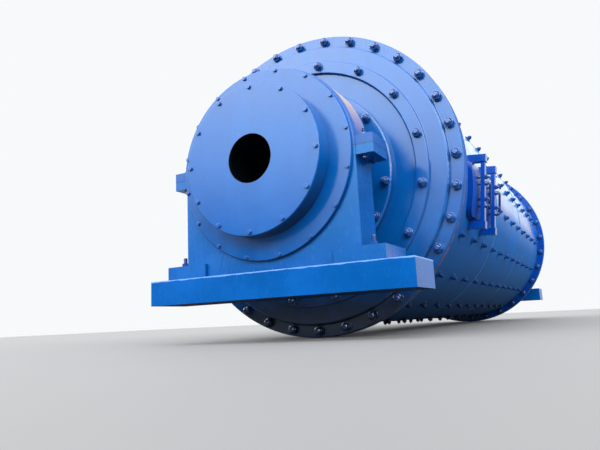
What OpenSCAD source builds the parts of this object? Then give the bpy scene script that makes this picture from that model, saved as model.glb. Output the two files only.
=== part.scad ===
// Ball mill: a long steel drum turning on two roller bearings, each on its own sole plate.
// The mill axis runs along +X. The origin is the middle of the near sole plate's underside.
// The far end is the near end mirrored. Bolts, nuts and weld seams are not part of these solids.
// The round pieces are half sections turned about the mill axis, from the journal outward.

/* [Overall] */
// distance between the middles of the two sole plates
bearing_span = 7000; // [6000:100:10000]
// height of the mill axis over the underside of the sole plates
axis_height = 1006; // [960:2:1300]
// gap between the rear cover of a bearing and the start of the trunnion neck
neck_gap = 100; // [20:1:160]

/* [Drum shell] */
// inside diameter of the drum shell
shell_bore = 2400; // [2200:10:3000]
// thickness of the shell wall
shell_wall = 26; // [16:1:40]
// how far the flanges at the ends of the drum stand out from the shell
flange_reach = 97; // [75:1:140]
// thickness of the ring flange on the shell
shell_flange_thickness = 60; // [40:1:90]

/* [Heads] */
// thickness of the head at its bolted rim
head_flange_thickness = 60; // [40:1:90]
// width of the bolted rim outside the head plate
rim_width = 103; // [80:1:130]
// how far the head plate stands proud of its rim
head_plate_proud = 40; // [30:1:60]
// distance from the edge of the head plate to the raised ring
ring_margin = 148; // [100:1:180]
// width of the raised ring on the head
ring_width = 107; // [80:1:130]
// how far the raised ring stands proud of the head plate
ring_proud = 25; // [20:1:40]

/* [Trunnions] */
// distance from the raised ring to the trunnion flange
trunnion_margin = 180; // [120:1:230]
// thickness of the trunnion flange
trunnion_flange_thickness = 60; // [45:1:90]
// how far the neck flares out from the journal to the trunnion flange
neck_flare = 165; // [120:1:190]
// length of the flared neck
neck_length = 220; // [200:1:300]
// diameter of the journal that turns in the roller bearing
journal_diameter = 710; // [640:2:780]
// thickness of the journal wall round the passage
journal_wall = 125; // [90:1:150]
// gap between the end of the journal and the end plate
journal_gap = 46; // [20:1:80]

/* [Bearing housings] */
// radial height of the roller bearing
roller_section = 160; // [120:1:190]
// gap between the roller bearing and the covers beside it
roller_inset = 47; // [20:1:80]
// thickness of the housing beside the roller bearing
housing_wall = 235; // [180:1:280]
// depth of the housing along the mill axis
housing_depth = 294; // [240:2:340]
// how far the housing's front is set back from the front of the sole plate
housing_setback = 32; // [10:1:60]
// how far each joint lug stands out from the housing side
lug_reach = 130; // [90:1:160]
// height of one half of the joint lug
lug_half_height = 70; // [50:1:100]
// how far the joint lug is set back from the housing's front and rear
lug_inset = 10; // [5:1:40]
// height of the foot blocks over the sole plate
foot_height = 100; // [60:1:150]
// how far a foot block reaches out beyond the housing side
foot_reach = 179; // [120:1:240]
// length of a foot block across the mill
foot_length = 382; // [300:2:460]

/* [Covers] */
// distance from the housing's outline to the edge of the wide cover
wide_cover_inset = 15; // [5:1:40]
// thickness of the wide cover plate
wide_cover_thickness = 30; // [18:1:45]
// distance from the edge of the wide cover to the cup
cover_rim = 164; // [120:1:200]
// wall thickness of the cup
cup_wall = 70; // [50:1:100]
// length of the cup
cup_length = 132; // [100:1:180]
// thickness of the end plate that closes the cup
end_plate_thickness = 25; // [16:1:40]
// diameter of the hole in the end plate
end_hole_diameter = 368; // [300:2:440]
// how far the rear cover overlaps the housing round the roller bearing
rear_cover_lap = 85; // [50:1:120]
// thickness of the rear cover of the housing
rear_cover_thickness = 30; // [18:1:45]
// radial clearance of the rear cover round the journal
rear_cover_clearance = 10; // [6:1:20]

/* [Sole plates] */
// how far a sole plate reaches out beyond the foot blocks
sole_reach = 188; // [160:1:260]
// depth of a sole plate along the mill axis
sole_depth = 422; // [380:2:520]
// height of a sole plate
sole_height = 197; // [140:1:240]
// distance from the end of a sole plate to its anchor holes
anchor_edge = 97; // [80:1:120]
// distance from the front or rear of a sole plate to its anchor holes
anchor_side = 91; // [70:1:120]
// diameter of the anchor holes
anchor_hole_diameter = 56; // [40:2:70]

/* [Manholes] */
// distance from the head flange front face to the middle of the first manhole
manhole_offset = 780; // [600:10:2000]
// gap between the two manhole frames
manhole_gap = 40; // [20:1:400]
// angle of the manholes below the horizontal
manhole_drop = 6; // [0:1:20]
// clear length of a manhole along the mill
manhole_clear_length = 340; // [300:10:500]
// clear height of a manhole round the shell
manhole_clear_height = 400; // [320:10:520]
// corner radius of the clear opening of a manhole
manhole_corner = 50; // [20:1:90]
// width of the rim left round a manhole by its frame
frame_rim = 50; // [35:1:70]
// thickness of the manhole frame and of the manhole cover
manhole_plate = 20; // [12:1:30]
// how far the edge of the cover stays inside the edge of the frame
cover_inset = 12.5; // [5:0.5:20]
// gap between the cover and the middle of the clamp bar
clamp_gap = 26; // [12:0.5:40]
// thickness of the clamp bar
clamp_thickness = 35; // [25:1:60]
// width of the clamp bar along the mill
clamp_width = 64; // [45:1:90]
// gap between the frame and the end blocks of the clamp bar
clamp_end_gap = 14; // [8:1:60]
// height of an end block of the clamp bar
clamp_block_height = 65; // [45:1:90]
// how far the end blocks stand out beyond the bar, outward and to each side
clamp_block_extra = 8; // [4:1:16]
// diameter of the round bar of a handle
handle_bar = 22; // [16:1:30]
// height of a handle between the middles of its legs
handle_height = 230; // [160:2:300]
// distance from the cover to the middle of the handle's grip
handle_stand = 73.4; // [60:0.2:100]
// distance from the edge of the cover to the middle of the handle
handle_inset = 42.5; // [30:0.5:60]
// bend radius at the corners of a handle
handle_bend = 28; // [20:1:40]

/* [Edges] */
// radius that rounds the edges of the bolted rims, covers and end plates
edge_round = 5; // [2:0.5:8]
// radius that rounds the edges of the head plate and the trunnion flange
plate_round = 16; // [8:1:20]
// radius that rounds the edges of the raised ring
ring_round = 8; // [4:1:10]
// radius of the fillets at the foot of the head plate and the raised ring
foot_fillet = 8; // [4:1:9]
// radius that rounds the upright edges of the housings, lugs, feet and sole plates
casting_round = 12; // [6:1:20]

/* [Hidden] */
// facets of a full circle in the preview, exact in the STEP file
$fn = 240;
// facets of the round bar of a handle
bar_facets = 48;
// slack left between curved faces that meet
seat = 0.3;
// extra length that makes a cut pass through
through = 40;
// depth by which a fillet is rooted in the metal behind it
root = 2;
mid_x = bearing_span / 2;
shell_outer = shell_bore + 2 * shell_wall;
flange_diameter = shell_outer + 2 * flange_reach;
head_plate_diameter = flange_diameter - 2 * rim_width;
ring_outer = head_plate_diameter - 2 * ring_margin;
ring_inner = ring_outer - 2 * ring_width;
trunnion_flange_diameter = ring_inner - 2 * trunnion_margin;
trunnion_bore = journal_diameter - 2 * journal_wall;
flare_radius = (neck_flare * neck_flare + neck_length * neck_length) / (2 * neck_flare);
housing_front = housing_setback - sole_depth / 2;
housing_rear = housing_front + housing_depth;
rear_cover_face = housing_rear + rear_cover_thickness;
journal_start = rear_cover_face + neck_gap;
trunnion_face = journal_start + neck_length;
head_plate_face = trunnion_face + trunnion_flange_thickness;
head_front = head_plate_face + head_plate_proud;
head_inner = head_front + head_flange_thickness;
wide_cover_face = housing_front - wide_cover_thickness;
cup_end = wide_cover_face - cup_length;
journal_end = cup_end + journal_gap;
roller_outer = journal_diameter + 2 * roller_section;
roller_bore = journal_diameter + 2 * seat;
roller_seat = roller_outer + 2 * seat;
roller_front = housing_front + roller_inset;
roller_width = housing_depth - 2 * roller_inset;
housing_width = roller_outer + 2 * housing_wall;
housing_height = axis_height - sole_height;
wide_cover_diameter = housing_width - 2 * wide_cover_inset;
cup_diameter = wide_cover_diameter - 2 * cover_rim;
cup_bore = cup_diameter - 2 * cup_wall;
rear_cover_diameter = roller_outer + 2 * rear_cover_lap;
rear_cover_bore = journal_diameter + 2 * rear_cover_clearance;
foot_outer = housing_width / 2 + foot_reach;
foot_middle = foot_outer - foot_length / 2;
sole_length = 2 * (foot_outer + sole_reach);
anchor_x = sole_depth / 2 - anchor_side;
anchor_y = sole_length / 2 - anchor_edge;
frame_length = manhole_clear_length + 2 * frame_rim;
frame_height = manhole_clear_height + 2 * frame_rim;
frame_corner = manhole_corner + frame_rim;
frame_inner_r = shell_outer / 2 + seat;
frame_outer_r = frame_inner_r + manhole_plate;
cover_length = frame_length - 2 * cover_inset;
cover_height = frame_height - 2 * cover_inset;
cover_inner_r = frame_outer_r + seat;
cover_outer_r = cover_inner_r + manhole_plate;
clamp_inner = cover_outer_r + clamp_gap;
clamp_outer = clamp_inner + clamp_thickness;
clamp_block_z = frame_height / 2 + clamp_end_gap + clamp_block_height / 2;
handle_reach = cover_outer_r + handle_stand;
handle_offset = cover_length / 2 - handle_inset;
manhole_x_1 = head_front + manhole_offset;
manhole_x_2 = manhole_x_1 + frame_length + manhole_gap;
steel_blue = [0.10, 0.36, 0.78];
deep_blue = [0.04, 0.24, 0.66];
bare_steel = [0.55, 0.56, 0.58];

// Turns a half section about the mill axis. In the section, X is the radius and Y runs along the
// mill from x.
module turned(x) {
  translate([x, 0, axis_height]) rotate([0, 90, 0]) rotate_extrude() children();
}

// Puts a near end piece at the far end.
module at_far() {
  translate([2 * mid_x, 0, 0]) mirror([1, 0, 0]) children();
}

// The sliver between a square corner at the origin and the arc that rounds it, with a root
// behind it. Cut from metal it rounds an edge, added to metal it is a fillet.
module corner(radius) {
  difference() {
    translate([-root, -root]) square(radius + root);
    translate([radius, radius]) circle(r = radius);
  }
}

// Half section of a plain ring.
module ring_section(length, outer, inner) {
  translate([inner / 2, 0]) square([(outer - inner) / 2, length]);
}

// Half section of a ring whose outer edge is rounded on its near face.
module rounded_section(length, outer, inner, radius) {
  difference() {
    ring_section(length, outer, inner);
    translate([outer / 2, 0]) mirror([1, 0]) corner(radius);
  }
}

// Half section of a bolted rim, rounded on both faces.
module rim_section(length, inner) {
  difference() {
    rounded_section(length, flange_diameter, inner, edge_round);
    translate([flange_diameter / 2, length]) rotate(180) corner(edge_round);
  }
}

// Outline of a plate with rounded corners, in the middle of the plane.
module rounded_outline(length, width, radius) {
  difference() {
    square([length, width], center = true);
    for (side_x = [-1, 1]) {
      for (side_y = [-1, 1]) {
        translate([side_x * length / 2, side_y * width / 2])
          mirror([side_x > 0 ? 1 : 0, 0]) mirror([0, side_y > 0 ? 1 : 0]) corner(radius);
      }
    }
  }
}

// An upright block with rounded upright edges, centred on X and Y.
module casting_block(depth, width, height) {
  linear_extrude(height = height) rounded_outline(depth, width, casting_round);
}

// Local frame of a manhole: outward is -Y, round the shell is Z.
module at_manhole(x) {
  translate([x, 0, axis_height]) rotate([manhole_drop, 0, 0]) children();
}

// A block centred on X and Z that runs outward from one distance to another.
module outward_block(length, height, from, to) {
  translate([-length / 2, -to, -height / 2]) cube([length, to - from, height]);
}

// The same with its four long edges rounded.
module outward_plug(length, height, from, to, radius) {
  rotate([90, 0, 0]) translate([0, 0, from])
    linear_extrude(height = to - from) rounded_outline(length, height, radius);
}

// A drum of the given radius along the mill, for cutting what lies on the shell.
module drum_cut(radius, length) {
  rotate([0, 90, 0]) cylinder(r = radius, h = length, center = true);
}

// A plate bent round the shell, with rounded corners.
module curved_plate(length, height, inner_r, outer_r, radius) {
  intersection() {
    difference() {
      drum_cut(outer_r, length);
      drum_cut(inner_r, length + through);
    }
    outward_plug(length, height, inner_r / 2, outer_r + through, radius);
  }
}

module manhole_hole() {
  outward_plug(manhole_clear_length, manhole_clear_height, shell_bore / 4, shell_outer,
    manhole_corner);
}

module shell() {
  color(steel_blue) difference() {
    turned(head_inner) ring_section(2 * (mid_x - head_inner), shell_outer, shell_bore);
    at_manhole(manhole_x_1) manhole_hole();
    at_manhole(manhole_x_2) manhole_hole();
  }
}

module shell_flange() {
  color(deep_blue) turned(head_inner) rim_section(shell_flange_thickness, shell_outer + 2 * seat);
}

// Half section of the head: bolted rim, head plate and raised ring, with their fillets.
module head_section() {
  rim_section(head_flange_thickness, trunnion_bore);
  translate([0, -head_plate_proud])
    rounded_section(head_flange_thickness, head_plate_diameter, trunnion_bore, plate_round);
  translate([head_plate_diameter / 2, 0]) mirror([0, 1]) corner(foot_fillet);
  translate([0, -head_plate_proud - ring_proud]) difference() {
    rounded_section(head_flange_thickness, ring_outer, ring_inner, ring_round);
    translate([ring_inner / 2, 0]) corner(ring_round);
  }
  translate([ring_outer / 2, -head_plate_proud]) mirror([0, 1]) corner(foot_fillet);
  translate([ring_inner / 2, -head_plate_proud]) rotate(180) corner(foot_fillet);
}

module head() {
  color(steel_blue) turned(head_front) head_section();
}

// Half section of the neck: it leaves the journal in line and flares out to the flange.
module neck_section() {
  difference() {
    ring_section(neck_length + root, journal_diameter + 2 * neck_flare, trunnion_bore);
    translate([journal_diameter / 2 + flare_radius, 0]) circle(r = flare_radius);
  }
}

module trunnion() {
  color(steel_blue) {
    turned(journal_end) {
      rounded_section(journal_start - journal_end, journal_diameter, trunnion_bore, edge_round);
      translate([0, journal_start - journal_end]) neck_section();
      translate([0, trunnion_face - journal_end]) rounded_section(trunnion_flange_thickness,
        trunnion_flange_diameter, trunnion_bore, plate_round);
    }
  }
}

module manhole_frame(x) {
  color(deep_blue) at_manhole(x) difference() {
    curved_plate(frame_length, frame_height, frame_inner_r, frame_outer_r, frame_corner);
    manhole_hole();
  }
}

module manhole_cover(x) {
  color(steel_blue) at_manhole(x)
    curved_plate(cover_length, cover_height, cover_inner_r, cover_outer_r,
      frame_corner - cover_inset);
}

module clamp_block() {
  translate([0, 0, clamp_block_z])
    outward_block(clamp_width + 2 * clamp_block_extra, clamp_block_height, shell_bore / 3,
      clamp_outer + clamp_block_extra);
}

module manhole_clamp(x) {
  color(steel_blue) at_manhole(x) difference() {
    union() {
      outward_block(clamp_width, 2 * clamp_block_z, clamp_inner, clamp_outer);
      clamp_block();
      mirror([0, 0, 1]) clamp_block();
    }
    drum_cut(frame_inner_r, 2 * clamp_width);
  }
}

module handle_half() {
  leg_z = handle_height / 2;
  translate([0, -(handle_reach - handle_bend), leg_z]) rotate([90, 0, 0])
    mirror([0, 0, 1]) cylinder(d = handle_bar, h = handle_reach / 4, $fn = bar_facets);
  translate([0, -(handle_reach - handle_bend), leg_z - handle_bend]) rotate([0, -90, 0])
    rotate([0, 0, -90]) rotate_extrude(angle = 90, $fn = bar_facets)
      translate([handle_bend, 0]) circle(d = handle_bar, $fn = bar_facets);
  translate([0, -handle_reach, 0]) cylinder(d = handle_bar, h = leg_z - handle_bend,
    $fn = bar_facets);
}

module manhole_handle(x) {
  color(deep_blue) at_manhole(x + handle_offset) difference() {
    union() {
      handle_half();
      mirror([0, 0, 1]) handle_half();
    }
    drum_cut(cover_outer_r + seat, 2 * handle_bar);
  }
}

module sole_plate() {
  color(steel_blue) difference() {
    casting_block(sole_depth, sole_length, sole_height);
    for (side_x = [-1, 1]) {
      for (side_y = [-1, 1]) {
        translate([side_x * anchor_x, side_y * anchor_y, -through])
          cylinder(d = anchor_hole_diameter, h = sole_height + 2 * through);
      }
    }
  }
}

module lug_pair() {
  translate([(housing_front + housing_rear) / 2, 0, axis_height])
    casting_block(housing_depth - 2 * lug_inset, housing_width + 2 * lug_reach, lug_half_height);
}

module foot_block() {
  translate([0, foot_middle, sole_height]) casting_block(sole_depth, foot_length, foot_height);
}

module roller_seat_cut() {
  turned(housing_front - through)
    ring_section(housing_depth + 2 * through, roller_seat, 0);
}

module bearing_base() {
  color(steel_blue) difference() {
    union() {
      translate([(housing_front + housing_rear) / 2, 0, sole_height])
        casting_block(housing_depth, housing_width, housing_height);
      translate([0, 0, -lug_half_height]) lug_pair();
      foot_block();
      mirror([0, 1, 0]) foot_block();
    }
    roller_seat_cut();
  }
}

// Half section of the round top of the housing, rounded like the upright edges below it.
module cap_section() {
  difference() {
    ring_section(housing_depth, housing_width, roller_seat);
    translate([housing_width / 2, 0]) mirror([1, 0]) corner(casting_round);
    translate([housing_width / 2, housing_depth]) rotate(180) corner(casting_round);
  }
}

module bearing_cap() {
  color(steel_blue) difference() {
    union() {
      intersection() {
        turned(housing_front) cap_section();
        translate([housing_front, -housing_width / 2, axis_height])
          cube([housing_depth, housing_width, housing_width]);
      }
      lug_pair();
    }
    roller_seat_cut();
  }
}

module roller_bearing() {
  color(bare_steel) turned(roller_front) ring_section(roller_width, roller_outer, roller_bore);
}

module wide_cover() {
  color(steel_blue) turned(wide_cover_face)
    rounded_section(wide_cover_thickness, wide_cover_diameter, cup_bore, edge_round);
}

module cup_wall_ring() {
  color(steel_blue) turned(cup_end) ring_section(cup_length, cup_diameter, cup_bore);
}

module end_plate() {
  color(steel_blue) turned(cup_end - end_plate_thickness)
    rounded_section(end_plate_thickness, cup_diameter, end_hole_diameter, edge_round);
}

module rear_cover() {
  color(deep_blue) turned(housing_rear)
    ring_section(rear_cover_thickness, rear_cover_diameter, rear_cover_bore);
}

shell();
shell_flange();  // shell_flange_near
at_far() shell_flange();  // shell_flange_far
head();  // head_near
at_far() head();  // head_far
trunnion();  // trunnion_near
at_far() trunnion();  // trunnion_far
manhole_frame(manhole_x_1);  // manhole_frame_1
manhole_frame(manhole_x_2);  // manhole_frame_2
manhole_cover(manhole_x_1);  // manhole_cover_1
manhole_cover(manhole_x_2);  // manhole_cover_2
manhole_clamp(manhole_x_1);  // manhole_clamp_1
manhole_clamp(manhole_x_2);  // manhole_clamp_2
manhole_handle(manhole_x_1);  // manhole_handle_1
manhole_handle(manhole_x_2);  // manhole_handle_2
sole_plate();  // sole_plate_near
at_far() sole_plate();  // sole_plate_far
bearing_base();  // bearing_base_near
at_far() bearing_base();  // bearing_base_far
bearing_cap();  // bearing_cap_near
at_far() bearing_cap();  // bearing_cap_far
roller_bearing();  // roller_bearing_near
at_far() roller_bearing();  // roller_bearing_far
wide_cover();  // wide_cover_near
at_far() wide_cover();  // wide_cover_far
cup_wall_ring();  // cup_wall_near
at_far() cup_wall_ring();  // cup_wall_far
end_plate();  // end_plate_near
at_far() end_plate();  // end_plate_far
rear_cover();  // rear_cover_near
at_far() rear_cover();  // rear_cover_far
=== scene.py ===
"""Dresses the ball mill: paint on the solids, bolts, nuts, weld seams, and the studio."""

import math
from collections import namedtuple

import bpy
from mathutils import Matrix, Vector


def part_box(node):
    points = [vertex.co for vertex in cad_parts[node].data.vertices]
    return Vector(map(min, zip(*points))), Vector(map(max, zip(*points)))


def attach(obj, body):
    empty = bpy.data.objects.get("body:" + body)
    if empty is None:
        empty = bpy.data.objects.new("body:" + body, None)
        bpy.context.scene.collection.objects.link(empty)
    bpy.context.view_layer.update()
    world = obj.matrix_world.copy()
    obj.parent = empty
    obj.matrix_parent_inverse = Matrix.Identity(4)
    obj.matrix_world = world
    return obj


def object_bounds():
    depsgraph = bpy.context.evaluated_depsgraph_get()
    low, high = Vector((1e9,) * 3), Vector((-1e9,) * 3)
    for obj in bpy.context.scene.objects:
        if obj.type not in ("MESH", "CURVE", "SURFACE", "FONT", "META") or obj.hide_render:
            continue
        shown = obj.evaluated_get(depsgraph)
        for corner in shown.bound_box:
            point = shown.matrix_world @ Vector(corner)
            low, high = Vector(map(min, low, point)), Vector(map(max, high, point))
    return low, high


bl_info = {
    "name": "Ball Mill Dresser",
    "version": (1, 0, 0),
    "blender": (4, 5, 0),
    "location": "3D View > Sidebar > Ball Mill",
    "description": "Paints the mill and adds its bolts, nuts, weld seams and studio",
    "category": "Object",
}

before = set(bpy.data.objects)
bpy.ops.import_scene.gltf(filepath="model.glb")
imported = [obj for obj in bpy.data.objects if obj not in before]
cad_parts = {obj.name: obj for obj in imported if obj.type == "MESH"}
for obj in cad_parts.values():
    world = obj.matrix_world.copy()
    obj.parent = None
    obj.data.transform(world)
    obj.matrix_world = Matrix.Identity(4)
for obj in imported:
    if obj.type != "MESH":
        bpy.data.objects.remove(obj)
CAD_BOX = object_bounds()


def box_low(node):
    """Lowest corner of a node's box."""
    return Vector(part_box(node)[0])


def box_high(node):
    """Highest corner of a node's box."""
    return Vector(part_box(node)[1])


# Places on the mill, in metres. Faces are named from the near end, and the far end mirrors them.
MID_X = (box_low("shell").x + box_high("shell").x) / 2
AXIS_Z = (box_low("shell").z + box_high("shell").z) / 2
SHELL_R = (box_high("shell").z - box_low("shell").z) / 2
HEAD_RIM_THICKNESS = 0.060
RING_PROUD = 0.025
NECK_FLANGE_THICKNESS = 0.060
SEAM_X = box_low("shell_flange_near").x
RIM_BACK = box_high("shell_flange_near").x
HEAD_FACE = SEAM_X - HEAD_RIM_THICKNESS
RING_FACE = box_low("head_near").x
NECK_FACE = RING_FACE + RING_PROUD - NECK_FLANGE_THICKNESS
WIDE_COVER_FACE = box_low("wide_cover_near").x
END_PLATE_FACE = box_low("end_plate_near").x
CAP_FRONT = box_low("bearing_cap_near").x
CAP_BACK = box_high("bearing_cap_near").x
SOLE_TOP = box_high("sole_plate_near").z

# Bolt circles: radius, number of bolts, and angle of the first one in degrees
RIM_CIRCLE = 1.270
RIM_BACK_CIRCLE = 1.275
RIM_FIRST = 1.0
RING_CIRCLE = 1.025
NECK_CIRCLE = 0.737
HEAD_BOLTS = 16
HEAD_FIRST = 12.5
WIDE_COVER_CIRCLE = 0.717
WIDE_COVER_SCREWS = 16
WIDE_COVER_FIRST = 10.1
END_PLATE_CIRCLE = 0.544
END_PLATE_SCREWS = 12
END_PLATE_FIRST = -1.7

# Radii of the bores, whose insides carry painted shade, nearly black
NECK_BORE = 0.352
END_PLATE_BORE = 0.188

# Liner bolts: angle of the first row in degrees, first column behind the head, and spacing
LINER_FIRST = -6.9
LINER_START = 0.585
LINER_STEP = 0.470

# The manholes: their angle, the outer faces of cover and clamp bar, and what they keep bare
MANHOLE_DROP = math.radians(6)
COVER_R = 1.2666
CLAMP_R = 1.3276
MANHOLE_END = 1.64
MANHOLE_LOW = -20
MANHOLE_HIGH = 18

# The housings: joint lugs and foot blocks
LUG_HALF = 0.070
LUG_BOLT_Y = 0.797
LUG_BOLT_ALONG = 0.080
FOOT_HEIGHT = 0.100
FOOT_BOLT_Y = 0.820
FOOT_BOLT_X = -0.120

# Girth seams of the shell: places behind the head's face, depth of the root, and leg
GIRTH_SEAMS = (1.963, 3.715)
GIRTH_ROOT = 0.0085
GIRTH_LEG = 0.015
WELD_STEPS = 1400

# Material index of a face: nut side, stud, the paint of what the bolt sits on, dull paint
NUT, STUD, GROUND, DULL = range(4)


# Mesh building

# Sizes of a bolt end: width across flats and height of its nut, diameter of its stud and how
# far that stands proud, radius of its washer, and pitch of its thread
Bolt = namedtuple("Bolt", "flats height stud proud washer pitch")

WASHER_HEIGHT = 0.007
WASHER_ROOT = 0.001
STUD_ROOT = 0.002
WELD_RIPPLE = 0.013


class Maker:
    """Collects many small shapes into one mesh, with a material index for each face."""

    def __init__(self):
        self.verts = []
        self.faces = []
        self.marks = []
        self.smooth = []

    def add(self, verts, faces, place, mark, smooth=False):
        start = len(self.verts)
        self.verts.extend(tuple(place @ Vector(v)) for v in verts)
        self.faces.extend(tuple(start + i for i in face) for face in faces)
        self.marks.extend([mark] * len(faces))
        self.smooth.extend([smooth] * len(faces))

    def stack(self, rings, place, mark, end_mark):
        """Skins a stack of point rings of equal count and closes its top."""
        n = len(rings[0])
        verts = [p for ring in rings for p in ring]
        faces = []
        for k in range(len(rings) - 1):
            for i in range(n):
                j = (i + 1) % n
                faces.append((k * n + i, k * n + j, (k + 1) * n + j, (k + 1) * n + i))
        faces.append(tuple((len(rings) - 1) * n + i for i in range(n)))
        self.add(verts, faces, place, mark)
        self.marks[-1] = end_mark

    def lathe(self, profile, place, mark, end_mark, segments=16):
        """Turns a profile of (radius, height) about the local Z axis."""
        rings = []
        for r, z in profile:
            rings.append([(r * math.cos(math.tau * i / segments),
                           r * math.sin(math.tau * i / segments), z) for i in range(segments)])
        self.stack(rings, place, mark, end_mark)

    def washer(self, radius, height, place):
        edge = min(height * 0.3, 0.002)
        profile = [(radius, -WASHER_ROOT), (radius, height - edge), (radius - edge, height)]
        self.lathe(profile, place, GROUND, GROUND, segments=24)

    def nut(self, flats, base, height, place, side=NUT, face=DULL, turn=0.0):
        """A hexagon with the curved chamfer that turning leaves on its corners."""
        points = 24
        foot, shoulder, top = [], [], []
        for k in range(points):
            a = math.tau * k / points
            from_corner = abs((a + math.pi / 6) % (math.pi / 3) - math.pi / 6)
            r = flats / 2 / math.cos(math.pi / 6 - from_corner)
            drop = (r - flats / 2) * 0.55 + height * 0.03
            c, s = math.cos(a + turn), math.sin(a + turn)
            foot.append((r * c, r * s, base))
            shoulder.append((r * c, r * s, base + height - drop))
            top.append((flats * 0.475 * c, flats * 0.475 * s, base + height))
        self.stack([foot, shoulder, top], place, side, face)

    def stud(self, radius, base, height, place, side=STUD, face=DULL, pitch=0.0):
        """A stud end, with grooves for the thread where a pitch is given."""
        profile = [(radius * 0.97, base)]
        turns = int((height - radius * 0.25) / pitch) if pitch else 0
        for k in range(turns):
            z = base + k * pitch
            profile += [(radius, z + pitch * 0.35), (radius, z + pitch * 0.5),
                        (radius * 0.92, z + pitch * 0.95)]
        top = base + height
        profile += [(radius, top - radius * 0.3), (radius * 0.90, top - radius * 0.1),
                    (radius * 0.68, top)]
        self.lathe(profile, place, side, face)

    def build(self, name, materials, mirror_x=None):
        verts = self.verts
        faces = self.faces
        if mirror_x is not None:
            verts = [(2 * mirror_x - x, y, z) for x, y, z in verts]
            faces = [tuple(reversed(face)) for face in faces]
        mesh = bpy.data.meshes.new(name)
        mesh.from_pydata(verts, [], faces)
        for material in materials:
            mesh.materials.append(material)
        mesh.polygons.foreach_set("material_index", self.marks)
        mesh.polygons.foreach_set("use_smooth", self.smooth)
        mesh.validate()
        mesh.update()
        obj = bpy.data.objects.new(name, mesh)
        bpy.context.scene.collection.objects.link(obj)
        return obj


def facing(origin, outward, twist=0.0):
    """Placement whose local Z points outward from origin."""
    z = Vector(outward).normalized()
    up = Vector((0, 0, 1)) if abs(z.z) < 0.9 else Vector((0, 1, 0))
    x = up.cross(z).normalized()
    y = z.cross(x)
    m = Matrix((x, y, z)).transposed().to_4x4()
    m.translation = Vector(origin)
    return m @ Matrix.Rotation(twist, 4, "Z")


def on_face(x, radius, angle):
    """A point on a face square to the mill axis; the angle runs up from the manhole side."""
    return Vector((x, -radius * math.cos(angle), AXIS_Z + radius * math.sin(angle)))


def away_from_axis(angle):
    """The direction that leads straight away from the mill axis at an angle of on_face."""
    return Vector((0, -math.cos(angle), math.sin(angle)))


def spun(index, salt=0.0):
    """A steady value from 0 to 1 for each index, so that no two bolts stand quite alike."""
    v = math.sin(index * 12.9898 + salt * 78.233) * 43758.5453
    return v - math.floor(v)


def bolt_circle(maker, bolt, x, radius, count, first, salt, outward=(-1, 0, 0)):
    """A circle of nuts on washers, each with its stud end, on a face square to the axis."""
    for k in range(count):
        angle = math.radians(first) + math.tau * k / count
        wobble = (spun(k, salt) - 0.5) * math.radians(50)
        place = facing(on_face(x, radius, angle), outward, wobble)
        lift = (spun(k, salt + 3) - 0.5) * 0.25 * bolt.proud
        maker.washer(bolt.washer, WASHER_HEIGHT, place)
        maker.nut(bolt.flats, WASHER_HEIGHT, bolt.height, place)
        maker.stud(bolt.stud / 2, WASHER_HEIGHT + bolt.height - STUD_ROOT, bolt.proud + lift, place,
                   face=GROUND, pitch=bolt.pitch)


def weld(maker, path, out_a, out_b, leg, mark, salt):
    """A fillet weld along a closed path. out_a and out_b give, at each point, the two directions
    in which its legs lie; its face bulges between them with the ripples of the bead."""
    n = len(path)
    verts = []
    run = 0.0
    for i, (p, a, b) in enumerate(zip(path, out_a, out_b)):
        if i:
            run += (p - path[i - 1]).length
        wave = 0.5 + 0.5 * math.cos(math.tau * run / WELD_RIPPLE)
        drift = 0.06 * math.sin(run * 9.1 + salt) + 0.04 * math.sin(run * 23.7 + salt * 2)
        s = leg * (1 + 0.08 * wave + drift)
        verts += [p - (a + b) * leg * 0.1, p + a * s, p + (a * 0.72 + b * 0.42) * s,
                  p + (a * 0.42 + b * 0.72) * s, p + b * s]
    m = len(verts) // n
    faces = []
    for i in range(n):
        j = (i + 1) % n
        for k in range(m):
            following = (k + 1) % m
            faces.append((i * m + k, j * m + k, j * m + following, i * m + following))
    maker.add(verts, faces, Matrix.Identity(4), mark, smooth=True)


# Materials

# Colours of what lies on the paint, and of painted shade and painted highlights, as sRGB values
# from 0 to 255
DUST = (176, 150, 132)
CHIPPED_STEEL = (96, 70, 56)
RUST_LINE = (138, 112, 98)
# Painted shade on the lowest part of the drum
LOW_SHADE = (0, 13, 40)
JOINT_SHADOW = (4, 12, 30)
# Painted shade inside the bores
BORE_SHADOW = (7, 16, 24)
# Painted highlight along an upper edge
EDGE_HIGHLIGHT = (112, 146, 206)
# Painted shade on nuts low on the drum
LOW_NUT_SHADE = (1, 10, 24)

# Tints of the gloss, from nearly clear to blue
CLEAR_TINT = (0.85, 0.95, 1.0)
PALE_TINT = (0.5, 0.85, 1.0)


def linear(rgb):
    """sRGB values from 0 to 255 as linear values."""
    out = []
    for v in rgb:
        v /= 255
        out.append(v / 12.92 if v <= 0.04045 else ((v + 0.055) / 1.055) ** 2.4)
    return tuple(out) + (1.0,)


def times(rgb, factor):
    """A colour made darker or lighter by a factor."""
    return [v * factor for v in rgb]


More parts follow.
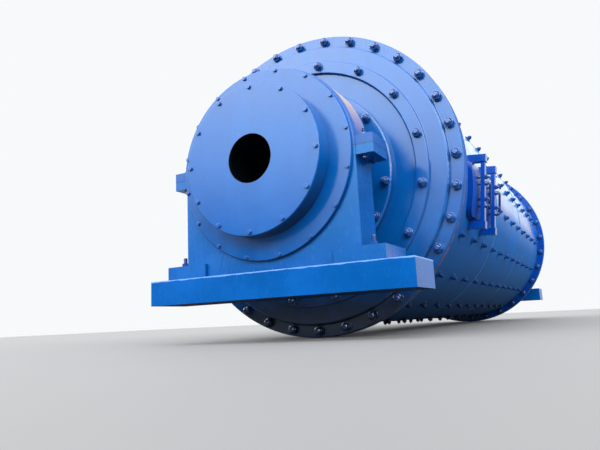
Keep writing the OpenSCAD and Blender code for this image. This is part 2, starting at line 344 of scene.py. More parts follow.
class Tree:
    """Short calls for building a node tree."""

    def __init__(self, tree):
        self.tree = tree

    def node(self, kind, **values):
        n = self.tree.nodes.new(kind)
        for key, value in values.items():
            setattr(n, key, value)
        return n

    def link(self, output, socket):
        self.tree.links.new(output, socket)

    def put(self, socket, value):
        """Links an output to a socket, or sets a plain value on it."""
        if isinstance(value, bpy.types.NodeSocket):
            self.link(value, socket)
        else:
            socket.default_value = value

    def part(self, vector, axis):
        """One of the three parts of a vector."""
        n = self.node("ShaderNodeSeparateXYZ")
        self.link(vector, n.inputs[0])
        return n.outputs[axis]

    def ramp(self, value, start, end, bottom=0.0, top=1.0, kind="LINEAR"):
        """Maps the range from start to end onto bottom to top and stops at both ends."""
        n = self.node("ShaderNodeMapRange", clamp=True, interpolation_type=kind)
        for socket, v in zip(n.inputs[:5], (value, start, end, bottom, top)):
            self.put(socket, v)
        return n.outputs[0]

    def math(self, how, a, b=0.0):
        n = self.node("ShaderNodeMath", operation=how)
        self.put(n.inputs[0], a)
        self.put(n.inputs[1], b)
        return n.outputs[0]

    def add(self, a, b):
        return self.math("ADD", a, b)

    def multiply(self, a, b):
        return self.math("MULTIPLY", a, b)

    def subtract(self, a, b):
        return self.math("SUBTRACT", a, b)

    def apart(self, a, b):
        """How far two values lie apart."""
        return self.math("ABSOLUTE", self.subtract(a, b))


class Finish(Tree):
    """A material with one shader, whose textures stay fixed to the object."""

    def __init__(self, name):
        self.material = bpy.data.materials.new(name)
        self.material.use_nodes = True
        super().__init__(self.material.node_tree)
        self.tree.nodes.clear()
        surface = self.node("ShaderNodeOutputMaterial")
        self.shader = self.node("ShaderNodeBsdfPrincipled")
        self.link(self.shader.outputs[0], surface.inputs[0])
        texture_frame = self.node("ShaderNodeTexCoord")
        self.coords = texture_frame.outputs["Object"]
        self.normal = texture_frame.outputs["Normal"]

    def along(self, axis):
        """The place along X, Y or Z."""
        return self.part(self.coords, axis)

    def scaled(self, scale):
        n = self.node("ShaderNodeMapping")
        self.link(self.coords, n.inputs["Vector"])
        n.inputs["Scale"].default_value = scale
        return n.outputs[0]

    def noise(self, scale, detail=4.0, rough=0.55, vector=None):
        n = self.node("ShaderNodeTexNoise")
        self.link(vector or self.coords, n.inputs["Vector"])
        n.inputs["Scale"].default_value = scale
        n.inputs["Detail"].default_value = detail
        n.inputs["Roughness"].default_value = rough
        return n.outputs[0]

    def ragged(self, value, noise, least, most):
        """A value shifted from place to place, so that a line drawn by it isn't straight."""
        return self.add(value, self.ramp(noise, 0.3, 0.7, least, most))

    def mix(self, factor, a, b):
        n = self.node("ShaderNodeMix", data_type="RGBA")
        self.put(n.inputs["Factor"], factor)
        self.put(n.inputs["A"], a)
        self.put(n.inputs["B"], b)
        return n.outputs["Result"]

    def bump(self, height, strength, distance, normal=None):
        n = self.node("ShaderNodeBump")
        n.inputs["Strength"].default_value = strength
        n.inputs["Distance"].default_value = distance
        self.link(height, n.inputs["Height"])
        if normal is not None:
            self.link(normal, n.inputs["Normal"])
        return n.outputs[0]

    def complete(self, colour, roughness, normal, constants):
        """Links what varies over the surface and sets the rest on the shader itself."""
        self.put(self.shader.inputs["Base Color"], colour)
        self.put(self.shader.inputs["Roughness"], roughness)
        self.link(normal, self.shader.inputs["Normal"])
        for socket, value in constants.items():
            self.shader.inputs[socket].default_value = value
        return self.material


def film_layer(t, film, colour, deep):
    """The paint itself, with thick and thin film, faint runs and lighter patches."""
    base = t.mix(t.ramp(film, 0.35, 0.68), linear(deep), linear(colour))
    runs = t.noise(3.0, 4.0, 0.6, t.scaled((2.2, 2.2, 0.35)))
    base = t.mix(t.ramp(runs, 0.50, 0.80, 0.0, 0.20), base, linear(times(deep, 0.62)))
    patches = t.noise(6.5, 6.0, 0.7)
    light = [min(v * 1.25 + 4, 255) for v in colour]
    return t.mix(t.ramp(patches, 0.60, 0.80, 0.0, 0.12), base, linear(light))


def low_shade_layer(t, base, strength):
    """Painted shade, darkening the lowest part of the drum."""
    depth = t.ragged(t.along(2), t.noise(2.6, 5.0, 0.6), -0.15, 0.15)
    reach = t.ramp(depth, AXIS_Z - 0.60, AXIS_Z - 1.15, 0.0, strength)
    return t.mix(reach, base, linear(LOW_SHADE))


def dust_mask(t, up, dust, dust_from, dust_to, swept_beyond):
    """Where dust lies: in patches on what faces up, and rubbed off toward the mill's ends."""
    patches = t.ramp(t.noise(4.2, 6.0, 0.65), 0.36 - dust * 0.3, 0.62 - dust * 0.3)
    settled = t.multiply(t.ramp(up, dust_from, dust_from * 0.5 + 0.6), patches)
    settled = t.multiply(settled, t.ramp(up, 0.62, 0.80, 1.0, dust_to))
    if swept_beyond is None:
        return settled
    off = t.ragged(t.apart(t.along(0), MID_X), t.noise(6.0, 5.0, 0.6), -0.02, 0.02)
    return t.multiply(settled, t.ramp(off, swept_beyond - 0.02, swept_beyond + 0.02, 1.0, 0.0))


def rust_layer(t, base, places):
    """Rusty lines round the drum where two flanges meet, strongest low down."""
    for place in places:
        away = t.ragged(t.apart(t.along(0), place), t.noise(22.0, 6.0, 0.7), -0.003, 0.005)
        line = t.multiply(t.ramp(away, 0.0022, 0.0050, 0.8, 0.0),
                          t.ramp(t.along(2), AXIS_Z - 0.5, AXIS_Z + 0.1, 1.0, 0.25))
        base = t.mix(line, base, linear(RUST_LINE))
    return base


def joint_layer(t, base):
    """The dark line where the two halves of a housing meet."""
    height = t.apart(t.along(2), AXIS_Z)
    return t.mix(t.ramp(height, 0.0022, 0.0042, 0.8, 0.0), base, linear(JOINT_SHADOW))


def bore_layer(t, base, radius):
    """Painted shade, nearly black, inside a bore round the mill axis."""
    squares = t.add(t.math("POWER", t.along(1), 2.0),
                    t.math("POWER", t.subtract(t.along(2), AXIS_Z), 2.0))
    inside = t.ramp(t.math("SQRT", squares), radius - 0.004, radius, 1.0, 0.0)
    return t.mix(inside, base, linear(BORE_SHADOW))


def edge_highlight_layer(t, base, height):
    """A painted highlight: the light line along an upper edge."""
    below = t.ragged(t.subtract(height, t.along(2)), t.noise(9.0, 5.0, 0.65), -0.004, 0.004)
    return t.mix(t.ramp(below, 0.006, 0.010, 0.7, 0.0), base, linear(EDGE_HIGHLIGHT))


def surface_of(t, cast, wobble):
    """Orange peel of the paint, the waves of the plate, and the grain of a casting."""
    peel = t.noise(140.0 if cast else 260.0, 2.0, 0.5)
    normal = t.bump(peel, 0.22 if cast else 0.10, 0.0016 if cast else 0.0008)
    normal = t.bump(t.noise(1.1, 2.0, 0.4), 0.25, 0.010 + wobble, normal)
    if cast:
        normal = t.bump(t.noise(24.0, 5.0, 0.62), 0.20, 0.0025, normal)
    return normal


def paint(name, colour, deep, rough=0.34, wobble=0.0, cast=False, coat=0.0, specular=0.5,
          tint=CLEAR_TINT, underside_shade=0.35, underside_shade_from=-0.10, underside_shade_colour=(4, 10, 30), low_shade=0.0,
          dust=0.0, dust_from=0.35, dust_to=1.0, swept_beyond=None, rust_at=(), joint=False,
          bore=0.0, highlight_edge=None, matt_below=0.0, matt_from=0.20):
    """Glossy machine paint over steel, with uneven film, dust, scuffs and chipped edges; painted
    shade on faces that turn down, and where asked painted shade low on the drum and inside a bore,
    and a painted highlight along an upper edge.
    """
    t = Finish(name)
    up = t.part(t.normal, 2)
    film = t.noise(1.7, 5.0, 0.6)
    base = film_layer(t, film, colour, deep)
    # Painted shade: faces that turn down are mixed toward a darker colour
    base = t.mix(t.ramp(up, underside_shade_from, -0.85, 0.0, underside_shade), base, linear(underside_shade_colour))
    # Painted shade on the lowest part of the drum
    if low_shade:
        base = low_shade_layer(t, base, low_shade)
    settled = dust_mask(t, up, dust, dust_from, dust_to, swept_beyond)
    base = t.mix(t.multiply(settled, 0.10 + dust), base, linear(DUST))
    chipped = t.multiply(t.ramp(t.noise(38.0, 5.0, 0.7), 0.735, 0.75),
                         t.ramp(t.noise(2.3, 3.0), 0.52, 0.62))
    base = t.mix(chipped, base, linear(CHIPPED_STEEL))
    base = rust_layer(t, base, rust_at)
    if joint:
        base = joint_layer(t, base)
    # Painted shade, nearly black, inside the bore
    if bore:
        base = bore_layer(t, base, bore)
    # Painted highlight along an upper edge
    if highlight_edge is not None:
        base = edge_highlight_layer(t, base, highlight_edge)

    scuffs = t.noise(55.0, 4.0, 0.6, t.scaled((1.0, 1.0, 0.25)))
    gloss = t.add(t.ramp(film, 0.3, 0.75, rough - 0.05, rough + 0.09),
                  t.ramp(scuffs, 0.55, 0.8, 0.0, 0.14))
    gloss = t.add(gloss, t.multiply(settled, 0.25))
    if matt_below:
        lengthwise = t.ramp(t.math("ABSOLUTE", t.part(t.normal, 0)), 0.3, 0.7, 1.0, 0.0)
        low = t.ramp(up, matt_from, matt_from - 0.30, 0.0, matt_below)
        gloss = t.add(gloss, t.multiply(lengthwise, low))
    gloss = t.add(gloss, t.multiply(chipped, 0.3))

    normal = surface_of(t, cast, wobble)
    t.link(normal, t.shader.inputs["Coat Normal"])
    return t.complete(base, gloss, normal, {
        "Metallic": 0.0, "IOR": 1.5, "Specular IOR Level": specular, "Specular Tint": (*tint, 1),
        "Coat Weight": coat, "Coat Roughness": 0.16})


def shell_paint(name, colour, deep):
    """Paint on the rolled shell plates, whose skin carries long soft waves, with strong painted
    shade on the underside.
    """
    return paint(name, colour, deep, rough=0.18, wobble=0.020, underside_shade=0.72, underside_shade_from=0.0,
                 specular=0.42, tint=(0.15, 0.65, 1.0), matt_below=0.7, matt_from=0.02,
                 underside_shade_colour=(2, 18, 52))


def low_nut_shade(t, base):
    """Painted shade: nuts low on the drum are made nearly black."""
    depth = t.ramp(t.along(2), AXIS_Z - 0.7, AXIS_Z - 1.15, 0.0, 0.95)
    return t.mix(depth, base, linear(LOW_NUT_SHADE))


def nut_paint(name):
    """Dark glossy paint on the sides of the nuts, with painted shade making those low on the drum
    nearly black.
    """
    t = Finish(name)
    film = t.noise(30.0, 4.0, 0.6)
    base = t.mix(t.ramp(film, 0.35, 0.7), linear((0, 42, 96)), linear((0, 62, 134)))
    worn = t.ramp(t.noise(90.0, 3.0, 0.6), 0.66, 0.76, 0.0, 0.25)
    base = low_nut_shade(t, t.mix(worn, base, linear((50, 104, 164))))
    normal = t.bump(t.noise(320.0, 3.0, 0.6), 0.2, 0.001)
    return t.complete(base, t.ramp(film, 0.3, 0.8, 0.20, 0.34), normal, {
        "Metallic": 0.0, "Specular IOR Level": 0.3, "Coat Weight": 1.0, "Coat Roughness": 0.06})


def dull_paint(name):
    """Dull thick paint on the faces of the nuts and all over the liner bolts, with painted shade
    making those low on the drum nearly black.
    """
    t = Finish(name)
    film = t.noise(30.0, 4.0, 0.6)
    base = t.mix(t.ramp(film, 0.35, 0.7), linear((0, 42, 96)), linear((0, 64, 132)))
    normal = t.bump(t.noise(260.0, 3.0, 0.6), 0.2, 0.001)
    return t.complete(low_nut_shade(t, base), t.ramp(film, 0.3, 0.8, 0.5, 0.65), normal, {
        "Metallic": 0.0, "Specular IOR Level": 0.15})


def stud_paint(name):
    """Glossy dark paint on the threads, with worn and rusty spots."""
    t = Finish(name)
    film = t.noise(46.0, 5.0, 0.65)
    base = t.mix(t.ramp(film, 0.40, 0.62), linear((3, 32, 78)), linear((8, 56, 118)))
    worn = t.ramp(t.noise(70.0, 4.0, 0.7), 0.58, 0.72, 0.0, 0.35)
    base = t.mix(worn, base, linear((96, 126, 160)))
    rusty = t.ramp(t.noise(25.0, 5.0, 0.7), 0.62, 0.75, 0.0, 0.3)
    base = t.mix(rusty, base, linear((96, 74, 60)))
    normal = t.bump(t.noise(400.0, 3.0, 0.6), 0.25, 0.001)
    return t.complete(base, t.ramp(film, 0.3, 0.8, 0.10, 0.26), normal, {
        "Metallic": 0.0, "Specular IOR Level": 0.9})


def ground_steel(name):
    """Ground steel of the roller bearing, with fine turning marks round the axis."""
    t = Finish(name)
    marks = t.noise(30.0, 3.0, 0.6, t.scaled((14.0, 1.0, 1.0)))
    base = t.mix(t.ramp(marks, 0.35, 0.7), linear((118, 122, 128)), linear((168, 172, 178)))
    normal = t.bump(marks, 0.15, 0.0006)
    return t.complete(base, t.ramp(marks, 0.3, 0.8, 0.24, 0.4), normal, {"Metallic": 0.9})


def floor_material(name, shade):
    """Plain matt floor with a faint unevenness."""
    t = Finish(name)
    soft = t.noise(0.9, 4.0, 0.5)
    dim = (shade * 0.97, shade * 0.97, shade * 0.98, 1)
    tone = t.mix(t.ramp(soft, 0.3, 0.7), dim, (shade, shade, shade, 1))
    normal = t.bump(t.noise(60.0, 3.0, 0.5), 0.05, 0.002)
    return t.complete(tone, 0.8, normal, {})


def get_material(key, make):
    found = bpy.data.materials.get(key)
    return found if found else make(key)


def fasteners(ground):
    """Materials of nuts, studs, what they sit on, and dull paint, in the order of the marks."""
    return [get_material("nut_overpaint", nut_paint), get_material("stud_overpaint", stud_paint),
            bpy.data.materials[ground], get_material("bolt_end_overpaint", dull_paint)]


def dress(node, material):
    """Gives a solid of the frame its material."""
    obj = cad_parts[node]
    obj.data.materials.clear()
    obj.data.materials.append(material)


# Properties

class PaintColours(bpy.types.PropertyGroup):
    plate: bpy.props.FloatVectorProperty(
        name="Plate paint", description="Paint of the heads, covers and drum plates",
        subtype="COLOR", size=3, min=0, max=1, default=(2 / 255, 75 / 255, 141 / 255))
    plate_deep: bpy.props.FloatVectorProperty(
        name="Plate paint, thick film", description="The same paint where its film is thicker",
        subtype="COLOR", size=3, min=0, max=1, default=(1 / 255, 66 / 255, 131 / 255))
    flange: bpy.props.FloatVectorProperty(
        name="Flange paint", description="Paint of the drum flanges and manhole parts",
        subtype="COLOR", size=3, min=0, max=1, default=(0 / 255, 58 / 255, 148 / 255))
    casting: bpy.props.FloatVectorProperty(
        name="Casting paint", description="Paint of the bearing housings and sole plates",
        subtype="COLOR", size=3, min=0, max=1, default=(1 / 255, 72 / 255, 142 / 255))


class BoltSizes(bpy.types.PropertyGroup):
    rim_flats: bpy.props.FloatProperty(
        name="Rim nut", description="Width across flats of the nuts on the drum rims",
        default=0.065, min=0.03, max=0.1, unit="LENGTH", subtype="DISTANCE")
    rim_count: bpy.props.IntProperty(
        name="Rim bolts", description="Number of bolts round each drum rim",
        default=32, min=8, max=64)
    ring_flats: bpy.props.FloatProperty(
        name="Ring nut",
        description="Width across flats of the nuts on the raised ring and trunnion flange",
        default=0.060, min=0.03, max=0.1, unit="LENGTH", subtype="DISTANCE")
    cover_flats: bpy.props.FloatProperty(
        name="Cover screw", description="Width across flats of the screws of the end plates",
        default=0.030, min=0.015, max=0.05, unit="LENGTH", subtype="DISTANCE")
    liner_flats: bpy.props.FloatProperty(
        name="Liner nut", description="Width across flats of the liner nuts on the shell",
        default=0.040, min=0.02, max=0.08, unit="LENGTH", subtype="DISTANCE")
    liner_rows: bpy.props.IntProperty(
        name="Liner rows", description="Rows of liner bolts round the shell",
        default=20, min=6, max=40)
    liner_columns: bpy.props.IntProperty(
        name="Liner columns", description="Liner bolts along each row",
        default=11, min=4, max=24)
    weld_leg: bpy.props.FloatProperty(
        name="Weld leg", description="Leg length of the fillet welds at the shell's flanges",
        default=0.014, min=0.005, max=0.03, unit="LENGTH", subtype="DISTANCE")


class StudioSettings(bpy.types.PropertyGroup):
    floor_shade: bpy.props.FloatProperty(
        name="Floor", description="Brightness of the plain floor",
        default=0.135, min=0, max=1, subtype="FACTOR")
    sky: bpy.props.FloatProperty(
        name="Sky", description="Strength of the soft light near the horizon behind the mill",
        default=0.9, min=0, max=4)
    backdrop: bpy.props.FloatProperty(
        name="Backdrop", description="Strength of the soft light high up behind the mill",
        default=1.9, min=0, max=6)
    front: bpy.props.FloatProperty(
        name="Front", description="Strength of the soft light high up in front of the mill",
        default=9.0, min=0, max=12)
    overhead: bpy.props.FloatProperty(
        name="Overhead", description="Strength of the soft light straight above",
        default=3.8, min=0, max=12)
    lens: bpy.props.FloatProperty(
        name="Lens", description="Focal length of the camera",
        default=32.715, min=15, max=120, unit="CAMERA")


def colour_of(value):
    """A colour property as values from 0 to 255."""
    return [round(v * 255, 3) for v in value]


# Operators

class BALLMILL_OT_paint_drum(bpy.types.Operator):
    """Paint the drum: shell, flanges, heads, trunnions and manholes"""
    bl_idname = "ballmill.paint_drum"
    bl_label = "Paint Drum"

    def execute(self, context):
        c = context.scene.ballmill_paint
        plate, deep, flange = colour_of(c.plate), colour_of(c.plate_deep), colour_of(c.flange)
        joints = (SEAM_X, 2 * MID_X - SEAM_X)
        shell = shell_paint("shell_paint", times(plate, 1.16), times(deep, 1.12))
        # Weld seams painted lighter than the shell, as a painted highlight along the beads
        shell_paint("seam_highlight_paint", (72, 124, 168), (52, 108, 158))
        grip = paint("handle_paint", times(flange, 0.70), times(flange, 0.56), rough=0.30,
                     specular=0.4, tint=(0.4, 0.65, 1.0))
        # The heads and drum flanges carry painted shade on their lowest part
        head = paint("head_paint", plate, deep, rough=0.16, rust_at=joints, low_shade=0.9,
                     matt_below=0.8, matt_from=0.6)
        # Painted shade, nearly black, inside the trunnion bore
        trunnion = paint("trunnion_paint", plate, deep, rough=0.16, coat=0.1, bore=NECK_BORE)
        rim = paint("shell_flange_paint", flange, times(flange, 0.9), rough=0.16, tint=PALE_TINT,
                    rust_at=joints, low_shade=0.5, matt_below=0.8, matt_from=0.6)
        hatch = paint("manhole_paint", flange, times(flange, 0.85), rough=0.24, specular=0.22,
                      tint=(0.2, 0.5, 1.0), matt_below=0.6, matt_from=0.08)
        clamp = paint("clamp_paint", flange, times(flange, 0.9), rough=0.24, specular=0.42,
                      tint=(0.45, 0.8, 1.0))
        dress("shell", shell)
        for end in ("near", "far"):
            dress("shell_flange_" + end, rim)
            dress("head_" + end, head)
            dress("trunnion_" + end, trunnion)
        for k in ("1", "2"):
            dress("manhole_frame_" + k, hatch)
            dress("manhole_cover_" + k, hatch)
            dress("manhole_clamp_" + k, clamp)
            dress("manhole_handle_" + k, grip)
        return {"FINISHED"}


class BALLMILL_OT_paint_bearings(bpy.types.Operator):
    """Paint the bearing housings, covers and sole plates"""
    bl_idname = "ballmill.paint_bearings"
    bl_label = "Paint Bearings"

    def execute(self, context):
        c = context.scene.ballmill_paint
        plate, deep, casting = colour_of(c.plate), colour_of(c.plate_deep), colour_of(c.casting)
        # Painted shade and a painted reflection of the dark ground, nearly black, on the covers'
        # undersides
        cover = paint("cover_paint", plate, deep, rough=0.16, specular=0.42,
                      underside_shade=0.8, underside_shade_colour=(16, 20, 26))
        # Painted shade, nearly black, inside the end plate's bore
        end_plate = paint("end_plate_paint", plate, deep, rough=0.18, specular=0.42,
                          bore=END_PLATE_BORE)
        housing = paint("housing_paint", casting, times(casting, 0.88), rough=0.24, cast=True,
                        tint=(0.4, 0.8, 1.0), dust=0.2, joint=True)
        cap = paint("cap_paint", casting, times(casting, 0.88), rough=0.34, cast=True,
                    specular=0.3, tint=(1, 1, 1), dust=0.75, dust_from=0.10, dust_to=0.15,
                    swept_beyond=MID_X - CAP_FRONT - 0.06, joint=True)
        # Painted shade, nearly black, on the faces of the sole plates that turn down, and a painted
        # highlight along their top edge
        sole = paint("sole_plate_paint", casting, times(casting, 0.85), rough=0.26, cast=True,
                     specular=0.35, tint=(0.1, 0.5, 1.0), underside_shade=0.92, underside_shade_from=-0.4,
                     underside_shade_colour=(4, 6, 10), highlight_edge=SOLE_TOP, matt_below=0.7, matt_from=-0.3)
        steel = ground_steel("roller_ground_steel")
        for end in ("near", "far"):
            for piece in ("wide_cover_", "cup_wall_", "rear_cover_"):
                dress(piece + end, cover)
            dress("end_plate_" + end, end_plate)
            dress("bearing_base_" + end, housing)
            dress("bearing_cap_" + end, cap)
            dress("sole_plate_" + end, sole)
            dress("roller_bearing_" + end, steel)
        return {"FINISHED"}


class BALLMILL_OT_rim_bolts(bpy.types.Operator):
    """Bolt the heads to the drum flanges"""
    bl_idname = "ballmill.rim_bolts"
    bl_label = "Rim Bolts"

    def execute(self, context):
        s = context.scene.ballmill_bolts
        front = Bolt(s.rim_flats, height=0.034, stud=0.042, proud=0.026, washer=0.042,
                     pitch=0.0045)
        back = Bolt(s.rim_flats * 0.9, height=0.028, stud=0.042, proud=0.004, washer=0.036,
                    pitch=0.0)
        maker = Maker()
        bolt_circle(maker, front, HEAD_FACE, RIM_CIRCLE, s.rim_count, RIM_FIRST, salt=1)
        bolt_circle(maker, back, RIM_BACK, RIM_BACK_CIRCLE, s.rim_count, RIM_FIRST, salt=2,
                    outward=(1, 0, 0))
        for end, mirror in (("near", None), ("far", MID_X)):
            obj = maker.build("rim_bolts_" + end, fasteners("head_paint"), mirror)
            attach(obj, "drum")
        return {"FINISHED"}


class BALLMILL_OT_head_bolts(bpy.types.Operator):
    """Bolt the raised rings and the trunnion flanges to the heads"""
    bl_idname = "ballmill.head_bolts"
    bl_label = "Head Bolts"

    def execute(self, context):
        s = context.scene.ballmill_bolts
        bolt = Bolt(s.ring_flats, height=0.031, stud=0.039, proud=0.024, washer=0.039,
                    pitch=0.0045)
        for name, x, radius, salt in (("ring_bolts_", RING_FACE, RING_CIRCLE, 4),
                                      ("trunnion_bolts_", NECK_FACE, NECK_CIRCLE, 5)):
            maker = Maker()
            bolt_circle(maker, bolt, x, radius, HEAD_BOLTS, HEAD_FIRST, salt)
            for end, mirror in (("near", None), ("far", MID_X)):
                obj = maker.build(name + end, fasteners("head_paint"), mirror)
                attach(obj, "drum")
        return {"FINISHED"}


class BALLMILL_OT_cover_screws(bpy.types.Operator):
    """Screw the wide covers and the end plates to the bearing housings"""
    bl_idname = "ballmill.cover_screws"
    bl_label = "Cover Screws"

    def execute(self, context):
        flats = context.scene.ballmill_bolts.cover_flats
        washer = 0.003
        maker = Maker()
        wide = (WIDE_COVER_FACE, WIDE_COVER_CIRCLE, WIDE_COVER_SCREWS, WIDE_COVER_FIRST)
        plate = (END_PLATE_FACE, END_PLATE_CIRCLE, END_PLATE_SCREWS, END_PLATE_FIRST)
        for (x, radius, count, first), across in ((wide, flats * 0.9), (plate, flats)):
            for k in range(count):
                angle = math.radians(first) + math.tau * k / count
                place = facing(on_face(x, radius, angle), (-1, 0, 0), spun(k, across) * math.pi)
                maker.washer(across * 0.62, washer, place)
                maker.nut(across, washer, across * 0.42, place, face=GROUND)
        for end, mirror in (("near", None), ("far", MID_X)):
            obj = maker.build("cover_screws_" + end, fasteners("cover_paint"), mirror)
            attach(obj, "bearings")
        return {"FINISHED"}


class BALLMILL_OT_liner_bolts(bpy.types.Operator):
    """Set the liner bolts in rows along the shell"""
    bl_idname = "ballmill.liner_bolts"
    bl_label = "Liner Bolts"

    def execute(self, context):
        s = context.scene.ballmill_bolts
        maker = Maker()
        # The two rows that the manholes interrupt stand a little above their even places
        raised = {0: 1.2, s.liner_rows - 1: 1.0}
        for row in range(s.liner_rows):
            degrees = LINER_FIRST - row * 360.0 / s.liner_rows + raised.get(row, 0.0)
            angle = math.radians(degrees)
            side = (degrees + 180) % 360 - 180
            for column in range(s.liner_columns):
                x = HEAD_FACE + LINER_START + LINER_STEP * column
                if MANHOLE_LOW < side < MANHOLE_HIGH and x < HEAD_FACE + MANHOLE_END:
                    continue
                index = row * 31 + column
                place = facing(on_face(x, SHELL_R, angle), away_from_axis(angle),
                               spun(index, 7) * math.pi)
                # A real washer in the nuts' dark dull paint, made wide so that it also stands in
                # for painted shadow round the bolt on the shell
                maker.lathe([(0.037, -0.003), (0.037, 0.005), (0.027, 0.012)], place, DULL, DULL)
                maker.nut(s.liner_flats, 0.012, 0.026, place, side=DULL)
                maker.stud(0.012, 0.036, 0.012 + 0.006 * spun(index, 9), place, side=DULL)
        obj = maker.build("liner_bolts", fasteners("shell_paint"))
        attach(obj, "drum")
        return {"FINISHED"}


class BALLMILL_OT_housing_bolts(bpy.types.Operator):
    """Bolt the housing halves together and hold the feet on the sole plates"""
    bl_idname = "ballmill.housing_bolts"
    bl_label = "Housing Bolts"

    def execute(self, context):
        maker = Maker()
        middle = (CAP_FRONT + CAP_BACK) / 2
        washer = 0.005
        for side in (-1, 1):
            for along in (-LUG_BOLT_ALONG, LUG_BOLT_ALONG):
                x, y = middle + along, side * LUG_BOLT_Y
                top = facing((x, y, AXIS_Z + LUG_HALF), (0, 0, 1), 0.3 * side + along)
                maker.washer(0.026, washer, top)
                maker.nut(0.036, washer, 0.020, top)
                maker.stud(0.012, 0.023, 0.034, top, pitch=0.003)
                under = facing((x, y, AXIS_Z - LUG_HALF), (0, 0, -1), 0.5)
                maker.washer(0.026, washer, under)
                maker.nut(0.036, washer, 0.015, under)
            foot = facing((FOOT_BOLT_X, side * FOOT_BOLT_Y, SOLE_TOP + FOOT_HEIGHT), (0, 0, 1), 0.2)
            maker.washer(0.038, WASHER_HEIGHT, foot)
            maker.nut(0.046, WASHER_HEIGHT, 0.026, foot)
            maker.stud(0.016, 0.030, 0.046, foot, pitch=0.004)
        for end, mirror in (("near", None), ("far", MID_X)):
            obj = maker.build("housing_bolts_" + end, fasteners("housing_paint"), mirror)
            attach(obj, "bearings")
        return {"FINISHED"}


class BALLMILL_OT_manhole_bolts(bpy.types.Operator):
    """Pull the manhole covers tight with studs through the clamp bars"""
    bl_idname = "ballmill.manhole_bolts"
    bl_label = "Manhole Bolts"

    def execute(self, context):
        maker = Maker()
        turn = Matrix.Rotation(MANHOLE_DROP, 4, "X")
        for k in ("1", "2"):
            low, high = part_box("manhole_clamp_" + k)
            x = (low[0] + high[0]) / 2
            here = Matrix.Translation((x, 0, AXIS_Z)) @ turn
            for v in (-0.129, -0.069, 0.069, 0.129):
                foot = math.sqrt(COVER_R ** 2 - v ** 2) - STUD_ROOT
                place = here @ facing((0, -foot, v), (0, -1, 0), 0.4 + v)
                bar = CLAMP_R - foot
                maker.stud(0.012, 0.0, bar + 0.036, place)
                maker.nut(0.036, bar, 0.018, place, turn=v * 9)
        obj = maker.build("manhole_bolts", fasteners("manhole_paint"))
        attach(obj, "drum")
        return {"FINISHED"}


class BALLMILL_OT_weld_seams(bpy.types.Operator):
    """Lay the weld seams round the shell and in the corners of its flanges"""
    bl_idname = "ballmill.weld_seams"
    bl_label = "Weld Seams"

    def execute(self, context):
        leg = context.scene.ballmill_bolts.weld_leg
        seam, corner = range(2)
        angles = [math.tau * i / WELD_STEPS for i in range(WELD_STEPS)]
        outs = [away_from_axis(a) for a in angles]
        maker = Maker()
        for x, back in ((RIM_BACK, 1), (2 * MID_X - RIM_BACK, -1)):
            path = [on_face(x, SHELL_R, a) for a in angles]
            weld(maker, path, outs, [Vector((back, 0, 0))] * WELD_STEPS, leg, corner, salt=x)
        lean = Vector((0.75, 0, 0))
        for place in GIRTH_SEAMS:
            x = HEAD_FACE + place
            path = [on_face(x, SHELL_R - GIRTH_ROOT, a) for a in angles]
            left = [(out * 0.85 + lean).normalized() for out in outs]
            right = [(out * 0.85 - lean).normalized() for out in outs]
            weld(maker, path, left, right, GIRTH_LEG, seam, salt=x)
        obj = maker.build("shell_weld_seams", [bpy.data.materials["seam_highlight_paint"],
                                               bpy.data.materials["shell_flange_paint"]])
        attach(obj, "drum")
        return {"FINISHED"}


# The camera's axes and its place
CAMERA_RIGHT = Vector((0.489392, -0.870772, -0.047455))
CAMERA_DOWN = Vector((0.129458, 0.126356, -0.983501))
CAMERA_FORWARD = Vector((0.862402, 0.475174, 0.174566))
CAMERA_PLACE = Vector((-3.5331, -2.1391, -0.1797))

# Colour of the soft light, its strength low down in front, and the plain backdrop
LIGHT_COLOUR = (0.97, 0.99, 1.0, 1)
LOW_FRONT = 0.05
PLAIN_BACKDROP = 0.96

# How far the plain floor reaches, and its gap under the drum
FLOOR_REACH = 60.0
FLOOR_GAP = 0.002


def place_camera(scene, lens):
    """The camera at the photo's viewing angle."""
    camera = bpy.data.cameras.new("photo_camera")
    camera.lens = lens
    camera.sensor_width = 36.0
    camera.sensor_fit = "HORIZONTAL"
    camera.clip_start = 0.1
    camera.clip_end = 500.0
    eye = bpy.data.objects.new("photo_camera", camera)
    m = Matrix((CAMERA_RIGHT, -CAMERA_DOWN, -CAMERA_FORWARD)).transposed().to_4x4()
    m.translation = CAMERA_PLACE
    eye.matrix_world = m
    scene.collection.objects.link(eye)
    scene.camera = eye


def light_world(scene, s):
    """Soft light from the whole sky, strongest high up in front, over a plain pale backdrop."""
    world = bpy.data.worlds.new("soft_sky")
    scene.world = world
    world.use_nodes = True
    t = Tree(world.node_tree)
    light = t.tree.nodes["Background"]
    light.inputs["Color"].default_value = LIGHT_COLOUR
    direction = t.node("ShaderNodeTexCoord").outputs["Generated"]
    ahead, left, up = (t.part(direction, axis) for axis in range(3))
    rising = t.ramp(up, 0.13, 0.43, LOW_FRONT, s.front)
    waning = t.ramp(up, 0.50, 0.85, 0.0, s.front - s.overhead)
    front = t.multiply(t.subtract(rising, waning), t.ramp(left, 0.48, 0.68, 1.0, 0.72))
    behind = t.ramp(up, 0.06, 0.30, s.sky, s.backdrop)
    around = t.node("ShaderNodeMix")
    t.link(t.ramp(ahead, -0.15, 0.35, kind="SMOOTHSTEP"), around.inputs[0])
    t.link(front, around.inputs[2])
    t.link(behind, around.inputs[3])
    seen = t.node("ShaderNodeMix")
    t.link(t.node("ShaderNodeLightPath").outputs["Is Camera Ray"], seen.inputs[0])
    t.link(around.outputs[0], seen.inputs[2])
    seen.inputs[3].default_value = PLAIN_BACKDROP
    t.link(seen.outputs[0], light.inputs["Strength"])
    scene.view_settings.view_transform = "Standard"


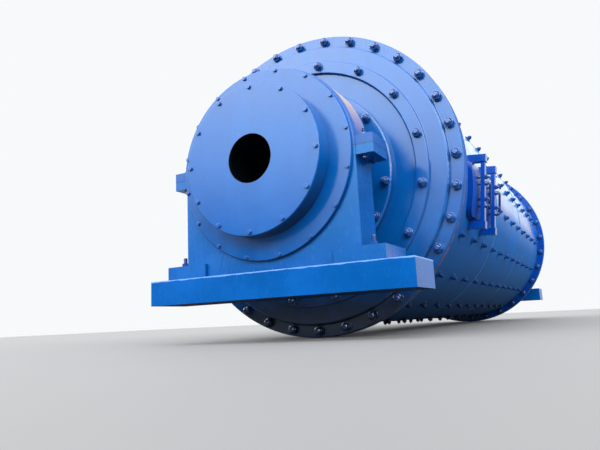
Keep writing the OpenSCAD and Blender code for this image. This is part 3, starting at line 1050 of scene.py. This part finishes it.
class BALLMILL_OT_studio(bpy.types.Operator):
    """Set the camera, the soft light and the plain floor"""
    bl_idname = "ballmill.studio"
    bl_label = "Studio"

    def execute(self, context):
        s = context.scene.ballmill_studio
        place_camera(context.scene, s.lens)
        light_world(context.scene, s)
        r = FLOOR_REACH
        z = CAD_BOX[0][2] - FLOOR_GAP
        mesh = bpy.data.meshes.new("floor")
        mesh.from_pydata([(-r, -r, z), (r, -r, z), (r, r, z), (-r, r, z)], [], [(0, 1, 2, 3)])
        mesh.materials.append(floor_material("floor_plain", s.floor_shade))
        floor = bpy.data.objects.new("floor", mesh)
        context.scene.collection.objects.link(floor)
        return {"FINISHED"}


class BALLMILL_PT_panel(bpy.types.Panel):
    """Sizes, colours and steps of the ball mill"""
    bl_idname = "BALLMILL_PT_panel"
    bl_label = "Ball Mill"
    bl_space_type = "VIEW_3D"
    bl_region_type = "UI"
    bl_category = "Ball Mill"

    def draw(self, context):
        scene = context.scene
        for group in (scene.ballmill_paint, scene.ballmill_bolts, scene.ballmill_studio):
            box = self.layout.box()
            for key in group.__annotations__:
                box.prop(group, key)
        for step in STEPS:
            self.layout.operator(step.bl_idname)


STEPS = (
    BALLMILL_OT_paint_drum,
    BALLMILL_OT_paint_bearings,
    BALLMILL_OT_rim_bolts,
    BALLMILL_OT_head_bolts,
    BALLMILL_OT_cover_screws,
    BALLMILL_OT_liner_bolts,
    BALLMILL_OT_housing_bolts,
    BALLMILL_OT_manhole_bolts,
    BALLMILL_OT_weld_seams,
    BALLMILL_OT_studio,
)
CLASSES = (PaintColours, BoltSizes, StudioSettings) + STEPS + (BALLMILL_PT_panel,)


def register():
    for cls in CLASSES:
        bpy.utils.register_class(cls)
    bpy.types.Scene.ballmill_paint = bpy.props.PointerProperty(type=PaintColours)
    bpy.types.Scene.ballmill_bolts = bpy.props.PointerProperty(type=BoltSizes)
    bpy.types.Scene.ballmill_studio = bpy.props.PointerProperty(type=StudioSettings)


def unregister():
    del bpy.types.Scene.ballmill_studio
    del bpy.types.Scene.ballmill_bolts
    del bpy.types.Scene.ballmill_paint
    for cls in reversed(CLASSES):
        bpy.utils.unregister_class(cls)


def main():
    register()
    bpy.ops.ballmill.paint_drum()
    bpy.ops.ballmill.paint_bearings()
    bpy.ops.ballmill.rim_bolts()
    bpy.ops.ballmill.head_bolts()
    bpy.ops.ballmill.cover_screws()
    bpy.ops.ballmill.liner_bolts()
    bpy.ops.ballmill.housing_bolts()
    bpy.ops.ballmill.manhole_bolts()
    bpy.ops.ballmill.weld_seams()
    bpy.ops.ballmill.studio()


if __name__ == "__main__":
    main()
